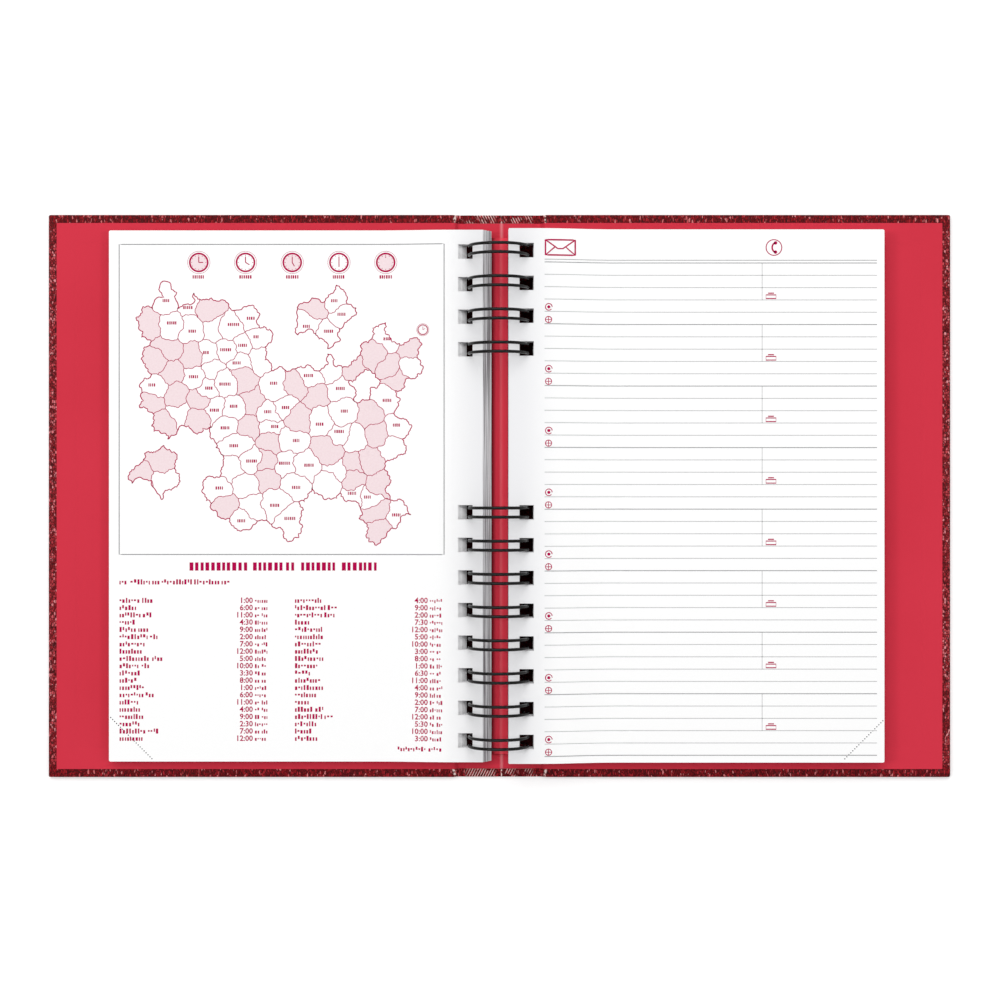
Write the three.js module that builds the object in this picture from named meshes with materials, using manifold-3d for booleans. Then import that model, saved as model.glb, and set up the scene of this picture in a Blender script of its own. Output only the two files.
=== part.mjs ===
// A wire-bound weekly planner, lying open on its cover: board covers in a turned-in skin, twin-loop wires
// of four loops held down on the spine, packets of punched leaves on both sides and loose leaves on top.
// Millimetres. X runs across the open book, Y toward its head, Z up from the table. X = 0 is the spine.
import * as THREE from "three";
import { mergeVertices } from "three/addons/utils/BufferGeometryUtils.js";
import Module from "manifold-3d";

const wasm = await Module();
wasm.setup();

// Cover
const coverHalfWidth = 177.6;
const coverHeight = 221.5;
const skinThickness = 0.5;
const boardThickness = 1.6;
const liningThickness = 0.3;
const turnInWidth = 11;
const turnInShowing = 3.3;
const jointHalfSpan = 15.2;
const jointGap = 0.3;
const boardFromJoint = 2.4;
const liningFromBoard = 0.3;

// Spine
const stiffenerThickness = 0.5;
const stiffenerFromJoint = 1.8;
const spineTurnIn = 3.2;

// Twin-loop wire: pitch of the punched positions, and which of the sixteen each wire's loops fill
const pitch = 12.7;
const positions = 16;
const upperLoops = [12, 13, 14, 15];
const middleLoops = [4, 5, 6, 7];
const lowerLoops = [0, 1, 2, 3];
const wireDiameter = 1;
const loopDiameter = 24;
const wireAxisX = -0.4;
const wireAboveLining = 0.2;
const legSpacing = 3.5;
const linkAngle = -85;
const tipAngle = 260;
const linkBend = 1;
const loopSteps = 22;
const bendSteps = 4;
const wireSides = 6;

// Binding strip that ties the wires to the spine: its reach on each side of the wire axis, and its crest
const stripLeft = 2.9;
const stripRight = 3.7;
const stripThickness = 0.5;
const stripCrest = 0.55;
const stripCrestAt = 1.2;
const stripEdge = 0.3;
const stripSteps = 6;
const stripClearance = 0.5;
const padClearance = 0.4;

// Leaves
const leafWidth = 146.2;
const leafHeight = 207.5;
const leafThickness = 0.4;
const leafGap = 0.3;
const cornerRadius = 1.5;
const cornerSteps = 4;
const holeSize = 5.6;
const holeFromEdge = 4.1;
const flatFromEdge = 11.5;
const curveLength = 30;
const curveSteps = 8;
const cutSpill = 1;

// Stacks: right side lies square, left side leans toward the spine at its foot
const rightInner = 3.6;
const rightLift = 3.7;
const rightPackets = 3;
const rightPacketThickness = 1.9;
const rightLooseLeaves = 3;
const leftInner = 6.4;
const leftLift = 2.1;
const leftLean = 3.2;
const leftPackets = 2;
const leftPacketThickness = 1.8;
const leftLooseLeaves = 2;

// Heights and places that follow
const boardFloor = skinThickness;
const boardTop = boardFloor + boardThickness;
const turnInTop = boardTop + skinThickness;
const coverTop = turnInTop + liningThickness;
const boardEdge = jointHalfSpan + boardFromJoint;
const halfHeight = coverHeight / 2;
const liningHalfHeight = halfHeight - turnInShowing;
const stiffenerTop = skinThickness + stiffenerThickness;
const spineTop = stiffenerTop + liningThickness;
const stiffenerEdge = jointHalfSpan - stiffenerFromJoint;
const loopRadius = (loopDiameter - wireDiameter) / 2;
const wireAxisZ = spineTop + wireAboveLining + loopDiameter / 2;
const stackFoot = coverTop + leafGap;
const filledPositions = [...lowerLoops, ...middleLoops, ...upperLoops];

const skinMaterial = { color: 0x7a1a1e, roughness: 0.55, metalness: 0 };
const liningMaterial = { color: 0xcf3347, roughness: 0.7, metalness: 0 };
const boardMaterial = { color: 0xa89a86, roughness: 0.9, metalness: 0 };
const paperMaterial = { color: 0xf4f2ee, roughness: 0.85, metalness: 0 };
const wireMaterial = { color: 0x111113, roughness: 0.35, metalness: 0.4 };

const planner = new THREE.Group();

// A closed geometry as a solid that can be cut and joined
function solidOf(geometry) {
  const flat = geometry.index ? geometry.toNonIndexed() : geometry;
  const bare = new THREE.BufferGeometry();
  bare.setAttribute("position", flat.getAttribute("position"));
  const merged = mergeVertices(bare, 1e-4);
  return new wasm.Manifold(
    new wasm.Mesh({
      numProp: 3,
      vertProperties: merged.getAttribute("position").array,
      triVerts: merged.index.array,
    }),
  );
}

// A finished solid as a named mesh of the planner
function addNode(name, solid, material) {
  const mesh = solid.getMesh();
  const geometry = new THREE.BufferGeometry();
  geometry.setAttribute("position", new THREE.BufferAttribute(mesh.vertProperties, 3));
  geometry.setIndex(new THREE.BufferAttribute(mesh.triVerts, 1));
  geometry.computeVertexNormals();
  const node = new THREE.Mesh(geometry, new THREE.MeshStandardMaterial(material));
  node.name = name;
  planner.add(node);
}

// A block between two corners, given in any order along X
function block(xa, xb, y0, y1, z0, z1) {
  const geometry = new THREE.BoxGeometry(1, 1, 1);
  const corners = geometry.getAttribute("position");
  for (let i = 0; i < corners.count; i++) {
    const x = corners.getX(i) < 0 ? Math.min(xa, xb) : Math.max(xa, xb);
    const y = corners.getY(i) < 0 ? y0 : y1;
    const z = corners.getZ(i) < 0 ? z0 : z1;
    corners.setXYZ(i, x, y, z);
  }
  return solidOf(geometry);
}

// A section in X and Z, drawn out along Y
function drawnAlongY(points, y0, y1) {
  const shape = new THREE.Shape(points.map(([x, z]) => new THREE.Vector2(x, z)));
  const geometry = new THREE.ExtrudeGeometry(shape, { depth: y1 - y0, bevelEnabled: false });
  geometry.rotateX(Math.PI / 2);
  geometry.translate(0, y1, 0);
  return solidOf(geometry);
}

// Cover halves: side is -1 for the front cover on the left and 1 for the back cover on the right
function coverBoard(side) {
  const inset = halfHeight - skinThickness;
  return block(
    side * boardEdge,
    side * (coverHalfWidth - skinThickness),
    -inset,
    inset,
    boardFloor,
    boardTop,
  );
}

function coverSkin(side) {
  const sheet = block(
    side * (jointHalfSpan + jointGap / 2),
    side * coverHalfWidth,
    -halfHeight,
    halfHeight,
    0,
    skinThickness,
  );
  const wrap = block(
    side * boardEdge,
    side * coverHalfWidth,
    -halfHeight,
    halfHeight,
    skinThickness,
    turnInTop,
  );
  const open = boardEdge - skinThickness;
  const inset = halfHeight - skinThickness;
  const pocket = block(
    side * open,
    side * (coverHalfWidth - skinThickness),
    -inset,
    inset,
    boardFloor,
    boardTop,
  );
  const window = block(
    side * open,
    side * (coverHalfWidth - turnInWidth),
    turnInWidth - halfHeight,
    halfHeight - turnInWidth,
    boardTop,
    turnInTop + skinThickness,
  );
  return sheet.add(wrap.subtract(pocket)).subtract(window);
}

// The lining lies on the board between the turn-ins, over their inner edges, and down into the joint
function coverLining(side) {
  const jointEdge = jointHalfSpan + jointGap;
  const wall = boardEdge - liningFromBoard;
  const section = [
    [jointEdge, boardFloor],
    [boardEdge, boardFloor],
    [boardEdge, turnInTop],
    [coverHalfWidth - turnInShowing, turnInTop],
    [coverHalfWidth - turnInShowing, coverTop],
    [wall, coverTop],
    [wall, boardFloor + liningThickness],
    [jointEdge, boardFloor + liningThickness],
  ];
  const sheet = drawnAlongY(
    section.map(([x, z]) => [side * x, z]),
    -liningHalfHeight,
    liningHalfHeight,
  );
  const fill = block(
    side * boardEdge,
    side * (coverHalfWidth - turnInWidth),
    turnInWidth - halfHeight,
    halfHeight - turnInWidth,
    boardTop,
    turnInTop,
  );
  return sheet.add(fill);
}

// Spine: the skin turns up round both ends of the stiffener, the lining runs across into both joints
function spineSkin() {
  const edge = jointHalfSpan - jointGap / 2;
  const sheet = block(-edge, edge, -halfHeight, halfHeight, 0, skinThickness);
  const rim = (y0, y1) => block(-stiffenerEdge, stiffenerEdge, y0, y1, skinThickness, spineTop);
  return sheet
    .add(rim(halfHeight - spineTurnIn, halfHeight))
    .add(rim(-halfHeight, spineTurnIn - halfHeight));
}

function spineStiffener() {
  const reach = halfHeight - spineTurnIn;
  return block(-stiffenerEdge, stiffenerEdge, -reach, reach, skinThickness, stiffenerTop);
}

function spineLining() {
  const edge = jointHalfSpan - jointGap;
  const wall = stiffenerEdge + liningFromBoard;
  const low = skinThickness + liningThickness;
  const half = [
    [stiffenerEdge, stiffenerTop],
    [stiffenerEdge, skinThickness],
    [edge, skinThickness],
    [edge, low],
    [wall, low],
    [wall, spineTop],
  ];
  const mirrored = half.map(([x, z]) => [-x, z]).reverse();
  const reach = halfHeight - spineTurnIn;
  return drawnAlongY([...half, ...mirrored], -reach, reach);
}

// Twin-loop wire
const positionY = (index) => (index - (positions - 1) / 2) * pitch;

function onLoop(angle, y) {
  return new THREE.Vector3(
    wireAxisX + loopRadius * Math.cos(angle),
    y,
    wireAxisZ + loopRadius * Math.sin(angle),
  );
}

// One wire goes up and over, turns back at a tip, returns, and steps along to the next loop
function wirePath(loops) {
  const half = legSpacing / 2;
  const turned = (length) => length / loopRadius;
  const foot = THREE.MathUtils.degToRad(linkAngle) + turned(linkBend);
  const shoulder = THREE.MathUtils.degToRad(tipAngle) - turned(half);
  const path = [];
  loops.forEach((index, count) => {
    const y = positionY(index);
    if (count > 0) addBend(path, foot, y - half, -1);
    for (let i = 0; i <= loopSteps; i++) {
      path.push(onLoop(foot + ((shoulder - foot) * i) / loopSteps, y - half));
    }
    for (let i = 1; i < 2 * bendSteps - 1; i++) {
      const t = (Math.PI * i) / (2 * bendSteps - 1);
      path.push(onLoop(shoulder + turned(half * Math.sin(t)), y - half * Math.cos(t)));
    }
    for (let i = loopSteps; i >= 0; i--) {
      path.push(onLoop(foot + ((shoulder - foot) * i) / loopSteps, y + half));
    }
    if (count < loops.length - 1) addBend(path, foot, y + half, 1);
  });
  return path;
}

// The quarter bend between a leg and the straight link, leaving the leg (1) or reaching it (-1)
function addBend(path, foot, y, way) {
  const bend = [];
  for (let i = 1; i <= bendSteps; i++) {
    const t = ((Math.PI / 2) * i) / bendSteps;
    const angle = foot - (linkBend * Math.sin(t)) / loopRadius;
    bend.push(onLoop(angle, y + way * linkBend * (1 - Math.cos(t))));
  }
  path.push(...(way > 0 ? bend : bend.reverse()));
}

// A round tube along a path, its ring of corners carried from point to point without twist
function tube(path) {
  const radius = wireDiameter / 2;
  const corners = [];
  const faces = [];
  let side = null;
  path.forEach((point, i) => {
    const next = path[Math.min(i + 1, path.length - 1)];
    const last = path[Math.max(i - 1, 0)];
    const along = next.clone().sub(last).normalize();
    if (!side) side = new THREE.Vector3(0, 1, 0);
    side = side.clone().addScaledVector(along, -side.dot(along)).normalize();
    const up = along.clone().cross(side);
    for (let k = 0; k < wireSides; k++) {
      const a = (2 * Math.PI * k) / wireSides;
      const corner = point.clone();
      corner.addScaledVector(side, radius * Math.cos(a));
      corner.addScaledVector(up, radius * Math.sin(a));
      corners.push(corner.x, corner.y, corner.z);
    }
  });
  for (let i = 0; i + 1 < path.length; i++) {
    for (let k = 0; k < wireSides; k++) {
      const a = i * wireSides + k;
      const b = i * wireSides + ((k + 1) % wireSides);
      faces.push(a, b, b + wireSides, a, b + wireSides, a + wireSides);
    }
  }
  const end = (path.length - 1) * wireSides;
  for (let k = 1; k + 1 < wireSides; k++) {
    faces.push(0, k + 1, k);
    faces.push(end, end + k, end + k + 1);
  }
  const geometry = new THREE.BufferGeometry();
  geometry.setAttribute("position", new THREE.Float32BufferAttribute(corners, 3));
  geometry.setIndex(faces);
  return geometry;
}

// The least clear distance between stretches of the wire that are not next to each other along it
function leastGap(path) {
  const lengths = [0];
  for (let i = 1; i < path.length; i++) {
    lengths.push(lengths[i - 1] + path[i].distanceTo(path[i - 1]));
  }
  const apart = Math.PI * legSpacing;
  let least = Infinity;
  for (let i = 0; i < path.length; i++) {
    for (let k = i + 1; k < path.length; k++) {
      if (lengths[k] - lengths[i] < apart) continue;
      least = Math.min(least, path[i].distanceTo(path[k]));
    }
  }
  return least - wireDiameter;
}

function loopWire(name, loops) {
  const path = wirePath(loops);
  console.log(name + ": least gap to itself " + leastGap(path).toFixed(2) + " mm");
  return solidOf(tube(path));
}

// The strip lies inside the loops, over their feet, and is stuck to the spine by pads between the loops.
// Its underside follows the loops, and its top rises to a crest.
function bindingStrip() {
  const left = wireAxisX - stripLeft;
  const right = wireAxisX + stripRight;
  const clearRadius = loopRadius - wireDiameter / 2 - stripClearance;
  const underAt = (fromAxis) => wireAxisZ - Math.sqrt(clearRadius ** 2 - fromAxis ** 2);
  const under = underAt(0);
  const reach = positionY(positions - 1) + pitch / 2;
  const section = [];
  for (let i = 0; i <= stripSteps; i++) {
    const fromAxis = -stripLeft + ((stripLeft + stripRight) * i) / stripSteps;
    section.push([wireAxisX + fromAxis, underAt(fromAxis)]);
  }
  section.push(
    [right, underAt(stripRight) + stripEdge],
    [wireAxisX + stripCrestAt, under + stripThickness + stripCrest],
    [left, underAt(stripLeft) + stripEdge],
  );
  let strip = drawnAlongY(section, -reach, reach);
  const linkX = wireAxisX + loopRadius * Math.cos(THREE.MathUtils.degToRad(linkAngle));
  const padRight = Math.min(right, linkX - wireDiameter / 2 - padClearance);
  const legReach = (legSpacing + wireDiameter) / 2 + padClearance;
  const filled = filledPositions.map(positionY);
  const starts = [-reach, ...filled.map((y) => y + legReach)];
  const stops = [...filled.map((y) => y - legReach), reach];
  starts.forEach((y0, i) => {
    strip = strip.add(block(left, padRight, y0, stops[i], spineTop, under + stripThickness / 2));
  });
  return strip;
}

// Leaves. A leaf lies flat under the wire, comes down to the cover in one soft curve, and lies flat again.
function riseAt(fromEdge, lift) {
  const t = THREE.MathUtils.clamp((fromEdge - flatFromEdge) / curveLength, 0, 1);
  return lift * (0.5 + 0.5 * Math.cos(Math.PI * t));
}

function stations() {
  const list = [0, flatFromEdge];
  for (let i = 1; i <= curveSteps; i++) list.push(flatFromEdge + (curveLength * i) / curveSteps);
  list.push(leafWidth);
  return list;
}

// A stack of leaves: side, height of its foot over the outer part, thickness, lift at the wire, and the
// distance of its inner edge from X = 0 at the foot and at the top
function leafStack(side, foot, thickness, lift, footInner, topInner) {
  const line = (inner, z) => stations().map((u) => [side * (inner + u), z + riseAt(u, lift)]);
  const section = [...line(footInner, foot), ...line(topInner, foot + thickness).reverse()];
  const half = leafHeight / 2;
  let stack = drawnAlongY(section, -half, half);
  const spill = thickness + cutSpill;
  const lean = (topInner - footInner) / thickness;
  const holeAt = (z) => lean * (z - foot) + footInner + holeFromEdge;
  const z0 = foot - spill;
  const z1 = foot + thickness + spill;
  const holeSection = [
    [holeAt(z0), z0 + lift],
    [holeAt(z0) + holeSize, z0 + lift],
    [holeAt(z1) + holeSize, z1 + lift],
    [holeAt(z1), z1 + lift],
  ].map(([x, z]) => [side * x, z]);
  filledPositions.forEach((index) => {
    const y = positionY(index);
    stack = stack.subtract(drawnAlongY(holeSection, y - holeSize / 2, y + holeSize / 2));
  });
  [-1, 1].forEach((end) => {
    stack = stack.subtract(cornerCut(side, end, foot, z0, z1, footInner, lean));
  });
  return stack;
}

// What is cut from a square outer corner to round it, leaning with the stack
function cornerCut(side, end, foot, z0, z1, footInner, lean) {
  const half = leafHeight / 2;
  const spill = cutSpill;
  const centreX = leafWidth - cornerRadius;
  const centreY = half - cornerRadius;
  const points = [[centreX, half + spill]];
  for (let i = 0; i <= cornerSteps; i++) {
    const a = (Math.PI / 2) * (1 - i / cornerSteps);
    points.push([centreX + cornerRadius * Math.cos(a), centreY + cornerRadius * Math.sin(a)]);
  }
  points.push([leafWidth + spill, centreY], [leafWidth + spill, half + spill]);
  const shape = new THREE.Shape(points.map(([x, y]) => new THREE.Vector2(side * x, end * y)));
  const geometry = new THREE.ExtrudeGeometry(shape, { depth: z1 - z0, bevelEnabled: false });
  geometry.translate(side * footInner, 0, z0);
  const shear = new THREE.Matrix4().set(
    1, 0, side * lean, -side * lean * foot,
    0, 1, 0, 0,
    0, 0, 1, 0,
    0, 0, 0, 1,
  );
  geometry.applyMatrix4(shear);
  return solidOf(geometry);
}

// One side's leaves from the cover up: packets first, then the loose leaves, counted from the top
function addStack(label, side, spec) {
  const step = (thickness) => thickness + leafGap;
  const total = spec.packets * step(spec.packetThickness) + spec.loose * step(leafThickness) - leafGap;
  const innerAt = (z) => spec.inner - spec.lean * (1 - (z - stackFoot) / total);
  let foot = stackFoot;
  for (let i = 0; i < spec.packets; i++) {
    const top = foot + spec.packetThickness;
    const packet = leafStack(side, foot, top - foot, spec.lift, innerAt(foot), innerAt(top));
    addNode(label + "_packet_" + (i + 1), packet, paperMaterial);
    foot = top + leafGap;
  }
  for (let i = spec.loose; i > 0; i--) {
    const inner = innerAt(foot + leafThickness);
    const leaf = leafStack(side, foot, leafThickness, spec.lift, inner, inner);
    addNode(label + "_leaf_" + i, leaf, paperMaterial);
    foot += step(leafThickness);
  }
}

addNode("front_board", coverBoard(-1), boardMaterial);
addNode("back_board", coverBoard(1), boardMaterial);
addNode("front_skin", coverSkin(-1), skinMaterial);
addNode("back_skin", coverSkin(1), skinMaterial);
addNode("front_lining", coverLining(-1), liningMaterial);
addNode("back_lining", coverLining(1), liningMaterial);
addNode("spine_skin", spineSkin(), skinMaterial);
addNode("spine_stiffener", spineStiffener(), boardMaterial);
addNode("spine_lining", spineLining(), liningMaterial);
addNode("wire_upper", loopWire("wire_upper", upperLoops), wireMaterial);
addNode("wire_middle", loopWire("wire_middle", middleLoops), wireMaterial);
addNode("wire_lower", loopWire("wire_lower", lowerLoops), wireMaterial);
addNode("binding_strip", bindingStrip(), liningMaterial);
addStack("right", 1, {
  packets: rightPackets,
  packetThickness: rightPacketThickness,
  loose: rightLooseLeaves,
  lift: rightLift,
  inner: rightInner,
  lean: 0,
});
addStack("left", -1, {
  packets: leftPackets,
  packetThickness: leftPacketThickness,
  loose: leftLooseLeaves,
  lift: leftLift,
  inner: leftInner,
  lean: leftLean,
});

export default planner;
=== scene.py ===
"""The open planner: turned-in cover, wire loops, packets of leaves and printed top leaves."""

import math
import random

import bmesh
import bpy
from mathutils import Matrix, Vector
from mathutils.geometry import tessellate_polygon


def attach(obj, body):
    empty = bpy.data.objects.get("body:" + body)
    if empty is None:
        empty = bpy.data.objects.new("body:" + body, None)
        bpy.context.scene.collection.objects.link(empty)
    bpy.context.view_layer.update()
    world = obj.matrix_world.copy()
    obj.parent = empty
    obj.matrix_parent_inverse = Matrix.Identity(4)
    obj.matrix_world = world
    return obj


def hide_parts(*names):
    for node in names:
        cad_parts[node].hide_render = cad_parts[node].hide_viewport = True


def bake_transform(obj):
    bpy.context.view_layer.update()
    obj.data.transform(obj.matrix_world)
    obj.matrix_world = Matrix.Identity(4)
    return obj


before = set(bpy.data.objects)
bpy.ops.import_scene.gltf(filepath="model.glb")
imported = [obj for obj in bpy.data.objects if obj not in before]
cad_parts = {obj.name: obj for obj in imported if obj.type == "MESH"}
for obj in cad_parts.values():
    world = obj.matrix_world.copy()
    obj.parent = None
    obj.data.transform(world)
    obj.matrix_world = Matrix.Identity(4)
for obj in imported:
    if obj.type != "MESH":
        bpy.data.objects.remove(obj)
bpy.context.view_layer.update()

# The stage: camera height in metres, floor in millimetres
CAMERA_HEIGHT, LENS, SHIFT = 0.778, 70.9, (0.0005, -0.004)
WORLD_LIGHT, FLOOR_GLOW = 0.425, 0.2
FLOOR_HALF, FLOOR_AT = 2500, -0.2

# Millimetres, in the planner's own frame: X across, Y toward the head, Z up from the table
COVER_HALF = 177.6
HEAD = 110.75
SKIN = 0.5
COVER_TOP = 2.9
TURN_IN_TOP = 2.6
TURN_IN = 11.0
TURN_IN_SHOWING = 3.3
SPINE_TOP = 1.3
SPINE_TURN_IN = 3.2
JOINT = 15.2
EDGE_ROUND = 0.7
CREASE = 0.8
LINING = 0.28
FOLDED_MIDDLE = 21
BAND_FROM = 0.7
# Where the lining is painted dark as the shade under the punched holes
UNDER_HOLES, UNDER_HOLES_END = (6.6, 14.6), 99

PITCH = 12.7
WIRES = {
    "wire_upper": [12, 13, 14, 15],
    "wire_middle": [4, 5, 6, 7],
    "wire_lower": [0, 1, 2, 3],
}
FILLED = sorted(index for loops in WIRES.values() for index in loops)
WIRE_X, WIRE_Z, LOOP_R, WIRE_R = -0.4, 13.5, 11.4, 0.6
LEGS = 3.5
LINK_ANGLE, TIP_ANGLE, LINK_BEND = -85.0, 260.0, 1.0
STRIP_LEFT, STRIP_RIGHT, STRIP_CREST_AT = 2.9, 3.7, 1.2
STRIP_CLEAR_R, STRIP_EDGE, STRIP_CREST_HEIGHT = 10.3, 0.3, 1.05
STRIP_END, STRIP_END_DROP = 3.3, 1.7

LEAF_W, LEAF_H = 146.2, 207.5
LEAF = 0.4
LEAF_GAP = 0.3
CORNER = 0.6
HOLE, HOLE_IN = 5.6, 4.1
FLAT, CURVE = 11.5, 30.0
STACK_FOOT = COVER_TOP + LEAF_GAP
PAPER = 0.14
LOOSE_PAPER = 0.22
RIGHT = {"side": 1, "inner": 3.6, "lift": 3.7, "packets": 3, "packet": 1.9, "loose": 3, "lean": 0.0}
LEFT = {"side": -1, "inner": 6.4, "lift": 2.1, "packets": 2, "packet": 1.8, "loose": 2, "lean": 3.2}
INK = 0.03
PRICK_RADIUS, PRICK_DEPTH = 0.24, 0.04


def lerp(a, b, t):
    return a + (b - a) * t


def ease(a, b, x):
    t = min(1.0, max(0.0, (x - a) / (b - a)))
    return t * t * (3 - 2 * t)


def shade(red, green, blue):
    """A screen colour, 0 to 255, as the shader's own"""
    out = []
    for c in (red, green, blue):
        c /= 255
        out.append(c / 12.92 if c <= 0.04045 else ((c + 0.055) / 1.055) ** 2.4)
    return (*out, 1.0)


def add(tree, kind, inputs, **settings):
    """A node with its settings, and each of its inputs linked or set"""
    made = tree.nodes.new(kind)
    for key, value in settings.items():
        setattr(made, key, value)
    for key, value in inputs.items():
        if isinstance(value, bpy.types.NodeSocket):
            tree.links.new(value, made.inputs[key])
        else:
            made.inputs[key].default_value = value
    return made


# Finishes


class Finish:
    """A surface finish made of shader nodes"""

    def __init__(self, name, roughness, specular):
        self.material = bpy.data.materials.new(name)
        self.material.use_nodes = True
        self.tree = self.material.node_tree
        self.shader = self.tree.nodes["Principled BSDF"]
        self.shader.inputs["Roughness"].default_value = roughness
        self.shader.inputs["Specular IOR Level"].default_value = specular
        self.where = self.tree.nodes.new("ShaderNodeTexCoord").outputs["Object"]

    def node(self, kind, inputs, **settings):
        return add(self.tree, "ShaderNode" + kind, inputs, **settings)

    def stretched(self, across, along, up):
        return self.node("Mapping", {"Vector": self.where, "Scale": (across, along, up)}).outputs[0]

    def noise(self, scale, detail=2.0, where=None):
        inputs = {"Vector": where or self.where, "Scale": scale, "Detail": detail}
        return self.node("TexNoise", inputs).outputs[0]

    def math(self, operation, a, b=0.0):
        return self.node("Math", {0: a, 1: b}, operation=operation).outputs[0]

    def between(self, value, low, high, at_low, at_high):
        """at_low below low, at_high above high, and smooth between them"""
        inputs = {0: value, 1: low, 2: high, 3: at_low, 4: at_high}
        return self.node("MapRange", inputs, interpolation_type="SMOOTHSTEP").outputs[0]

    def ramp(self, factor, stops):
        made = self.node("ValToRGB", {0: factor})
        bar = made.color_ramp
        while len(bar.elements) < len(stops):
            bar.elements.new(0.5)
        for element, (place, colour) in zip(bar.elements, stops):
            element.position = place
            element.color = colour
        return made.outputs[0]

    def mix(self, factor, a, b, blend="MIX"):
        made = self.node("Mix", {0: factor, 6: a, 7: b}, data_type="RGBA", blend_type=blend)
        return made.outputs[2]

    def colour(self, socket):
        self.tree.links.new(socket, self.shader.inputs["Base Color"])

    def roughness(self, socket):
        self.tree.links.new(socket, self.shader.inputs["Roughness"])

    def bump(self, height, distance, strength=1.0):
        made = self.node("Bump", {"Height": height, "Distance": distance, "Strength": strength})
        self.tree.links.new(made.outputs[0], self.shader.inputs["Normal"])


def lizard_leatherette(name, where):
    """The same grain for the outside, the turned-in bands and the bands' folded middle; the bands
    carry painted highlights
    """
    f = Finish(name, 0.44, 0.07)
    across, along, _ = f.node("SeparateXYZ", {0: f.where}).outputs
    far, end = f.math("ABSOLUTE", across), f.math("ABSOLUTE", along)
    on_end_band = f.between(end, (HEAD - 5.5) / 1000, (HEAD - 4.5) / 1000, 0.0, 1.0)

    def grain(scales, feature):
        inputs = {"Vector": scales, "Scale": 1.0, "Randomness": 0.8}
        return f.node("TexVoronoi", inputs, feature=feature).outputs

    strokes = f.stretched(1750, 640, 700)
    scales = f.stretched(1400, 900, 800)
    pick = f.mix(on_end_band, grain(scales, "F1")["Color"], grain(strokes, "F1")["Color"])
    side_edge = grain(scales, "DISTANCE_TO_EDGE")[0]
    end_edge = grain(strokes, "DISTANCE_TO_EDGE")[0]
    edge = f.node("Mix", {0: on_end_band, 2: side_edge, 3: end_edge}).outputs[0]
    tone = f.node("SeparateColor", {0: pick}).outputs[0]

    def reds(second, third, *tones):
        places = (0.0, second, third, 1.0)
        return f.ramp(tone, [(place, shade(*one)) for place, one in zip(places, tones)])

    if where == "outside":
        body = reds(0.5, 0.86, (106, 10, 17), (138, 23, 31), (150, 31, 39), (164, 46, 54))
    else:
        # Partly painted highlight: the grain's tone varies at random, and the palest stops on the
        # bands are painted highlights that the outside lacks
        on_ends = reds(0.55, 0.86, (92, 6, 12), (142, 20, 28), (170, 38, 46), (226, 132, 134))
        on_sides = reds(0.45, 0.78, (104, 12, 18), (158, 40, 47), (196, 74, 81), (226, 142, 147))
        body = f.mix(on_end_band, on_sides, on_ends)
    groove = f.between(edge, 0.02, 0.17, 0.0, 1.0)
    body = f.mix(groove, shade(62, 4, 9), body)
    if where == "folded middle":
        body = painted_fold_highlights(f, body, across, far, end)
    f.colour(body)
    f.roughness(f.node("MapRange", {0: tone, 3: 0.36, 4: 0.52}).outputs[0])
    f.bump(f.between(edge, 0.0, 0.3, 0.0, 1.0), 0.00014, 0.8)
    return f.material


def painted_fold_highlights(f, body, across, far, end):
    """Painted highlights where the bands cross the spine: slanting pale stripes and three pale creases
    """
    slant = f.math("ADD", across, f.math("MULTIPLY", end, 0.5))
    stripe = f.math("SINE", f.math("MULTIPLY", slant, 2 * math.pi / 0.00105))
    stripe = f.between(stripe, 0.1, 0.7, 0.0, 1.0)
    patch = f.between(f.noise(260, 2), 0.44, 0.56, 0.0, 1.0)
    over_spine = f.between(far, 0.011, 0.0145, 1.0, 0.0)
    near = f.math("MULTIPLY", over_spine, f.between(far, 0.001, 0.003, 0.0, 1.0))
    pale = f.math("MULTIPLY", f.math("MULTIPLY", stripe, patch), near)
    body = f.mix(f.math("MULTIPLY", pale, 0.8), body, shade(240, 196, 192))
    # Painted highlights along the creases, broken up by noise
    highlight_breakup = f.between(f.noise(900, 2), 0.48, 0.58, 0.05, 1.0)
    into_band = f.math("SUBTRACT", HEAD / 1000, end)
    folds = ((-0.0173, 0.0008, 0.22), (0.0176, 0.0007, 0.22), (CREASE / 1000, 0.0003, 0.0))
    for place, width, lean in folds:
        side = 1.0 if place > 0 else -1.0
        out = f.math("SUBTRACT", f.math("MULTIPLY", across, side), abs(place))
        away = f.math("ABSOLUTE", f.math("SUBTRACT", out, f.math("MULTIPLY", into_band, lean)))
        fold = f.between(away, width / 3, width, 1.0, 0.0)
        body = f.mix(f.math("MULTIPLY", fold, highlight_breakup), body, shade(248, 222, 216))
    return body


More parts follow.
